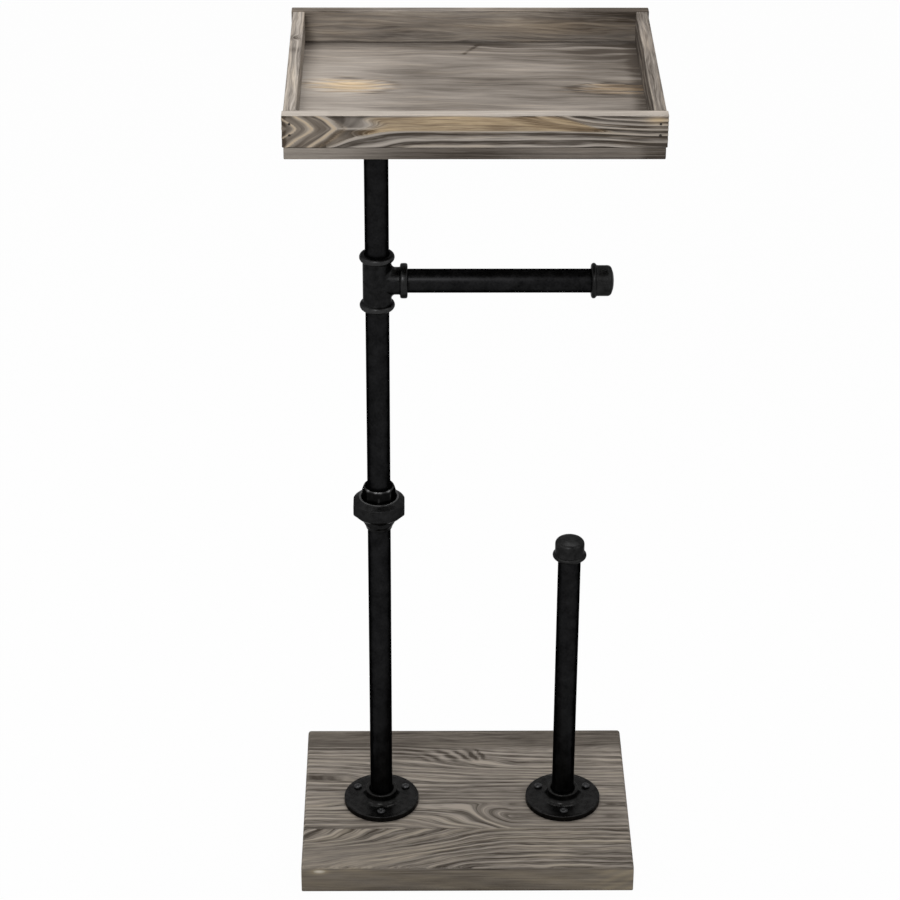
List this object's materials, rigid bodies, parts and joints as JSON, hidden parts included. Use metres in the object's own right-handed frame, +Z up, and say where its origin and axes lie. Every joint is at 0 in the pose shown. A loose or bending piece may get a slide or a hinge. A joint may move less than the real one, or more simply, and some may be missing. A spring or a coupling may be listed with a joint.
{
  "type": "toilet paper stand",
  "caption": "Free-standing toilet paper stand of black pipe fittings, with a wooden base, a side arm for the roll in use, an upright spindle for spare rolls and a shallow wooden tray on top.",
  "frame": {"origin": "on the floor, under the middle of the base board", "axes": "+Z up, +X along the arm from the post, -Y towards the person who takes the paper"},
  "size_m": [0.316, 0.2426, 0.8027],
  "materials": {
    "weathered_pine": "wire-brushed pine, stained weathered grey-brown, matt",
    "black_fitting": "satin black coating over a fine cast skin",
    "black_pipe": "satin black coating on drawn steel",
    "black_screw": "black, slightly glossier than the castings",
    "nail_steel": "dull dark steel",
    "seat_brass": "turned brass"
  },
  "bodies": {
    "base": {"base_board": "weathered_pine", "post_flange": "black_fitting", "post_flange_screw_1": "black_screw", "post_flange_screw_2": "black_screw", "post_flange_screw_3": "black_screw", "lower_pipe": "black_pipe", "union_lower_end": "black_fitting", "union_seat_ring": "seat_brass", "spindle_flange": "black_fitting", "spindle_flange_screw_1": "black_screw", "spindle_flange_screw_2": "black_screw", "spindle_flange_screw_3": "black_screw"},
    "upper_stand": {"union_upper_end": "black_fitting", "middle_pipe": "black_pipe", "tee": "black_fitting", "upper_pipe": "black_pipe", "tray_flange": "black_fitting", "tray_flange_screw_1": "black_screw", "tray_flange_screw_2": "black_screw", "tray_flange_screw_3": "black_screw", "tray_floor": "weathered_pine", "tray_front_wall": "weathered_pine", "tray_back_wall": "weathered_pine", "tray_left_wall": "weathered_pine", "tray_right_wall": "weathered_pine", "tray_nail_front_left_1": "nail_steel", "tray_nail_front_left_2": "nail_steel", "tray_nail_front_right_1": "nail_steel", "tray_nail_front_right_2": "nail_steel", "tray_nail_back_left_1": "nail_steel", "tray_nail_back_left_2": "nail_steel", "tray_nail_back_right_1": "nail_steel", "tray_nail_back_right_2": "nail_steel", "floor_nail_front_left": "nail_steel", "floor_nail_front_right": "nail_steel", "floor_nail_back_left": "nail_steel", "floor_nail_back_right": "nail_steel", "floor_nail_left": "nail_steel", "floor_nail_right": "nail_steel"},
    "nut": {"union_nut": "black_fitting"},
    "arm": {"arm_pipe": "black_pipe"},
    "cap_on_arm": {"arm_cap": "black_fitting"},
    "spindle": {"spindle_pipe": "black_pipe"},
    "cap_on_spindle": {"spindle_cap": "black_fitting"}
  },
  "joints": [
    {"name": "upper_stand_turn", "type": "hinge", "parent": "base", "child": "upper_stand", "pos_m": [-0.0827, -0.0062, 0.3423], "axis": [0, 0, 1], "continuous": true},
    {"name": "union_nut_turn", "type": "hinge", "parent": "base", "child": "nut", "pos_m": [-0.0827, -0.0062, 0.3569], "axis": [0, 0, 1], "range_deg": [0, 1440]},
    {"name": "arm_turn", "type": "hinge", "parent": "upper_stand", "child": "arm", "pos_m": [-0.0677, -0.0062, 0.5959], "axis": [1, 0, 0], "range_deg": [0, 2160]},
    {"name": "arm_cap_turn", "type": "hinge", "parent": "arm", "child": "cap_on_arm", "pos_m": [0.1063, -0.0062, 0.5959], "axis": [1, 0, 0], "range_deg": [0, 2160]},
    {"name": "spindle_turn", "type": "hinge", "parent": "base", "child": "spindle", "pos_m": [0.0945, -0.0062, 0.0328], "axis": [0, 0, 1], "range_deg": [0, 2160]},
    {"name": "spindle_cap_turn", "type": "hinge", "parent": "spindle", "child": "cap_on_spindle", "pos_m": [0.0945, -0.0062, 0.309], "axis": [0, 0, 1], "range_deg": [0, 2160]}
  ]
}
